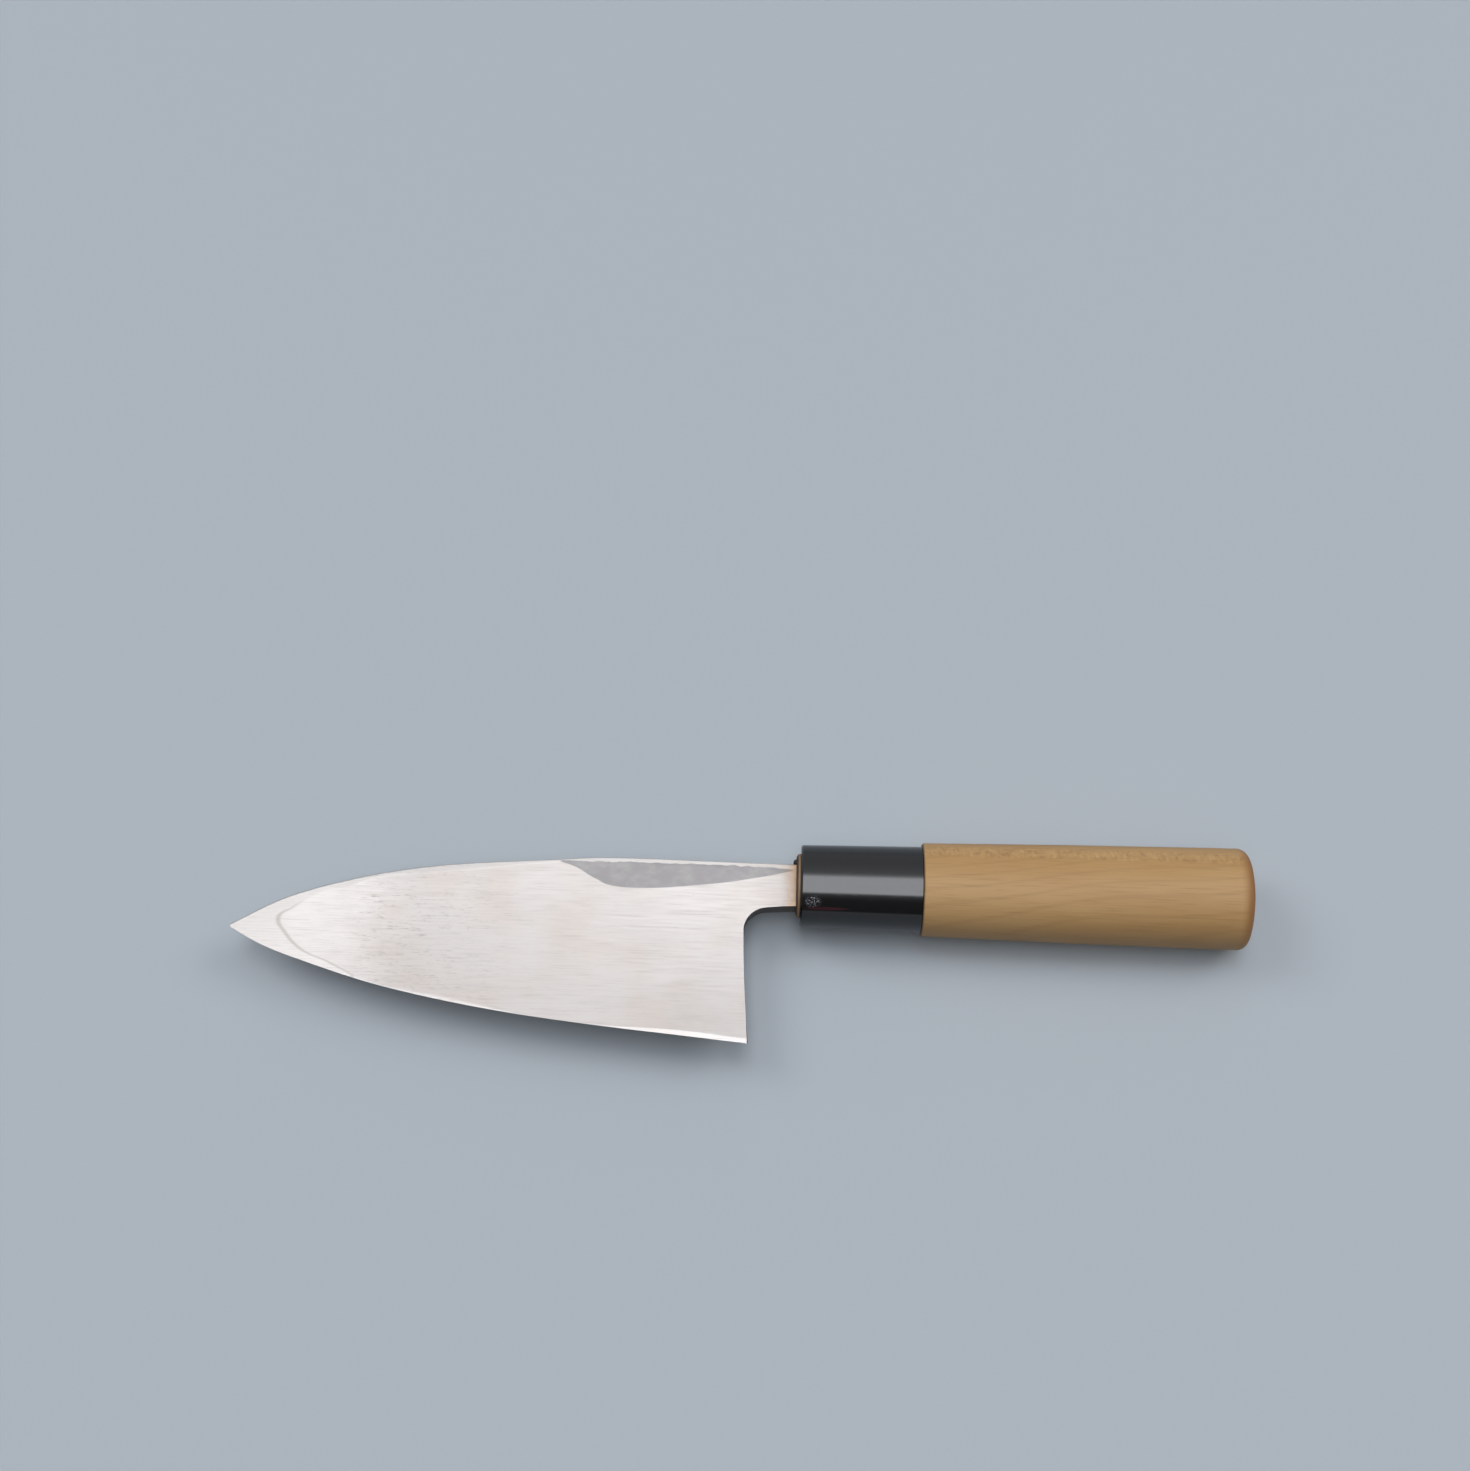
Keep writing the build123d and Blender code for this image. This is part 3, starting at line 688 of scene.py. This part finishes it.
def setResin():
    # Brown-black resin that was melted into the mouth and set: dull and a little uneven.
    material, tree, surface = startMaterial("set tang resin")
    surface.inputs["Base Color"].default_value = toLinear(seal["colour"])
    surface.inputs["Roughness"].default_value = seal["roughness"]
    coords = addNode(tree, "TexCoord").outputs["Object"]
    lumps = layPatterns(tree, coords, seal["patterns"])["lumps"]
    strength, depth = seal["lumpRelief"], seal["lumpDepth"]
    relief = addNode(tree, "Bump", {"Strength": strength, "Distance": depth, "Height": lumps})
    tree.links.new(relief.outputs[0], surface.inputs["Normal"])
    return material


dressNode("tang_seal", "mouthSeal", setResin())
print("seal ready")

# Table and light. The light is a soft sky: a bright band overhead, fading into a pale wall behind
# the spine and a dim room in front of the edge. Each pair of levels is an angle in degrees, from
# the front horizon over the top to the back one, and the light's level there, where 1 is white.
studio = {
    "tableColour": "#ADB5BC",
    "tableRoughness": 0.6,
    "tableSize": 40.0,
    "levels": [
        (0, 0.11), (29, 0.12), (46, 0.16), (57, 0.5), (63, 3.4), (67, 4.5), (99, 4.5), (104, 3.4),
        (109, 1.7), (115, 0.95), (122, 0.8), (136, 0.65), (163, 0.55), (180, 0.5),
    ],
    "asideLevel": 0.2,      # the most that shows beside the bright band
    "bandBorder": (math.radians(9), math.radians(14)),
    "skyColour": "#F8FAFF",
    "backdropColour": "#A9B0B7",
    "backdropBorder": (math.radians(7), math.radians(12)),      # above the horizon
    "lampPlaces": [(-2.7, 1.2, 3.2), (2.7, 1.2, 3.2)],
    "lampSize": 2.1,
    "lampLevel": 3.1,
}
bpy.ops.mesh.primitive_plane_add(size=studio["tableSize"], location=(0, 0, 0))
table = bpy.context.active_object
table.name = "table"
# Matt paint: pale, plain and without a highlight
tableMaterial, tree, surface = startMaterial("matt painted table")
surface.inputs["Base Color"].default_value = toLinear(studio["tableColour"])
surface.inputs["Roughness"].default_value = studio["tableRoughness"]
table.data.materials.append(tableMaterial)

world = bpy.data.worlds.new("studio")
bpy.context.scene.world = world
world.use_nodes = True
sky = world.node_tree
sky.nodes.clear()
towards = addNode(sky, "SeparateXYZ", {0: addNode(sky, "TexCoord").outputs["Generated"]})
frontward = addNode(sky, "Math", {0: towards.outputs[1], 1: -1.0}, **product)
overTop = addNode(sky, "Math", {0: towards.outputs[2], 1: frontward}, operation="ARCTAN2")
overTop = addNode(sky, "Math", {0: overTop}, operation="DEGREES")
level = curveThrough(sky, overTop, studio["levels"], unit=1.0)
aside = addNode(sky, "Math", {0: towards.outputs[0]}, **withoutSign)
low, high = (math.sin(angle) for angle in studio["bandBorder"])
inBand = addNode(sky, "MapRange", {0: aside, 1: low, 2: high, 3: 1.0, 4: 0.0}, **smooth)
dimmer = addNode(sky, "Math", {0: level, 1: studio["asideLevel"]}, operation="MINIMUM")
extra = addNode(sky, "Math", {0: level, 1: dimmer}, **difference)
strength = addNode(sky, "Math", {0: extra, 1: inBand, 2: dimmer}, **multiplyAdd)
light = addNode(sky, "Background", {"Color": toLinear(studio["skyColour"]), "Strength": strength})

# Near the horizon the camera sees a plain pale wall, and so do metal, gloss and glass
backdropInputs = {"Color": toLinear(studio["backdropColour"]), "Strength": 1.0}
backdrop = addNode(sky, "Background", backdropInputs)
ray = addNode(sky, "LightPath")
seen = ray.outputs["Is Camera Ray"]
for other in ("Is Glossy Ray", "Is Transmission Ray"):
    seen = addNode(sky, "Math", {0: seen, 1: ray.outputs[other]}, operation="MAXIMUM")
low, high = (math.sin(angle) for angle in studio["backdropBorder"])
horizonInputs = {0: towards.outputs[2], 1: low, 2: high, 3: 1.0, 4: 0.0}
nearHorizon = addNode(sky, "MapRange", horizonInputs, **smooth)
seen = addNode(sky, "Math", {0: seen, 1: nearHorizon}, **product)
mixed = addNode(sky, "MixShader", {0: seen, 1: light, 2: backdrop})
addNode(sky, "OutputWorld", {0: mixed})

# Two softboxes behind the spine, to each side, so that the shadow falls in front of the edge
for number, place in enumerate(studio["lampPlaces"], start=1):
    bpy.ops.object.light_add(type="AREA", location=place)
    lamp = bpy.context.active_object
    lamp.name = f"backSoftbox{number}"
    lamp.rotation_euler = Vector(place).to_track_quat("Z", "Y").to_euler()
    lamp.data.shape = "SQUARE"
    lamp.data.size = studio["lampSize"]
    # Watts grow with the area, so a resized lamp stays as bright to look at
    lamp.data.energy = studio["lampLevel"] * math.pi * studio["lampSize"] ** 2

# The camera was fitted to the photograph: it looks down at the table from the edge's side
view = {
    "focalPixels": 2365.57,     # its focal length, where the frame is frameWidth pixels wide
    "frameWidth": 1470,
    "sensorWidth": 36.0,
    "elevation": math.radians(65.593),
    "azimuth": math.radians(0.826),
    "roll": math.radians(0.9747),
    "aim": Vector((-3.40 * mm, 56.41 * mm, 0)),
    "distance": 579.43 * mm,
    # What it sees lies between these, in metres
    "nearest": 0.01,
    "farthest": 60,
}
bpy.ops.object.camera_add()
camera = bpy.context.active_object
camera.data.sensor_fit = "HORIZONTAL"
camera.data.sensor_width = view["sensorWidth"]
camera.data.lens = view["sensorWidth"] * view["focalPixels"] / view["frameWidth"]
camera.data.clip_start = view["nearest"]
camera.data.clip_end = view["farthest"]
turn = Matrix.Rotation(view["azimuth"], 4, "Z")
tilt = Matrix.Rotation(math.pi / 2 - view["elevation"], 4, "X")
roll = Matrix.Rotation(view["roll"], 4, "Z")
heading = turn @ tilt @ roll
standpoint = view["aim"] + heading.to_3x3() @ Vector((0, 0, view["distance"]))
camera.matrix_world = Matrix.Translation(standpoint) @ heading
bpy.context.scene.camera = camera
bpy.context.scene.view_settings.view_transform = "Standard"
print("studio ready")
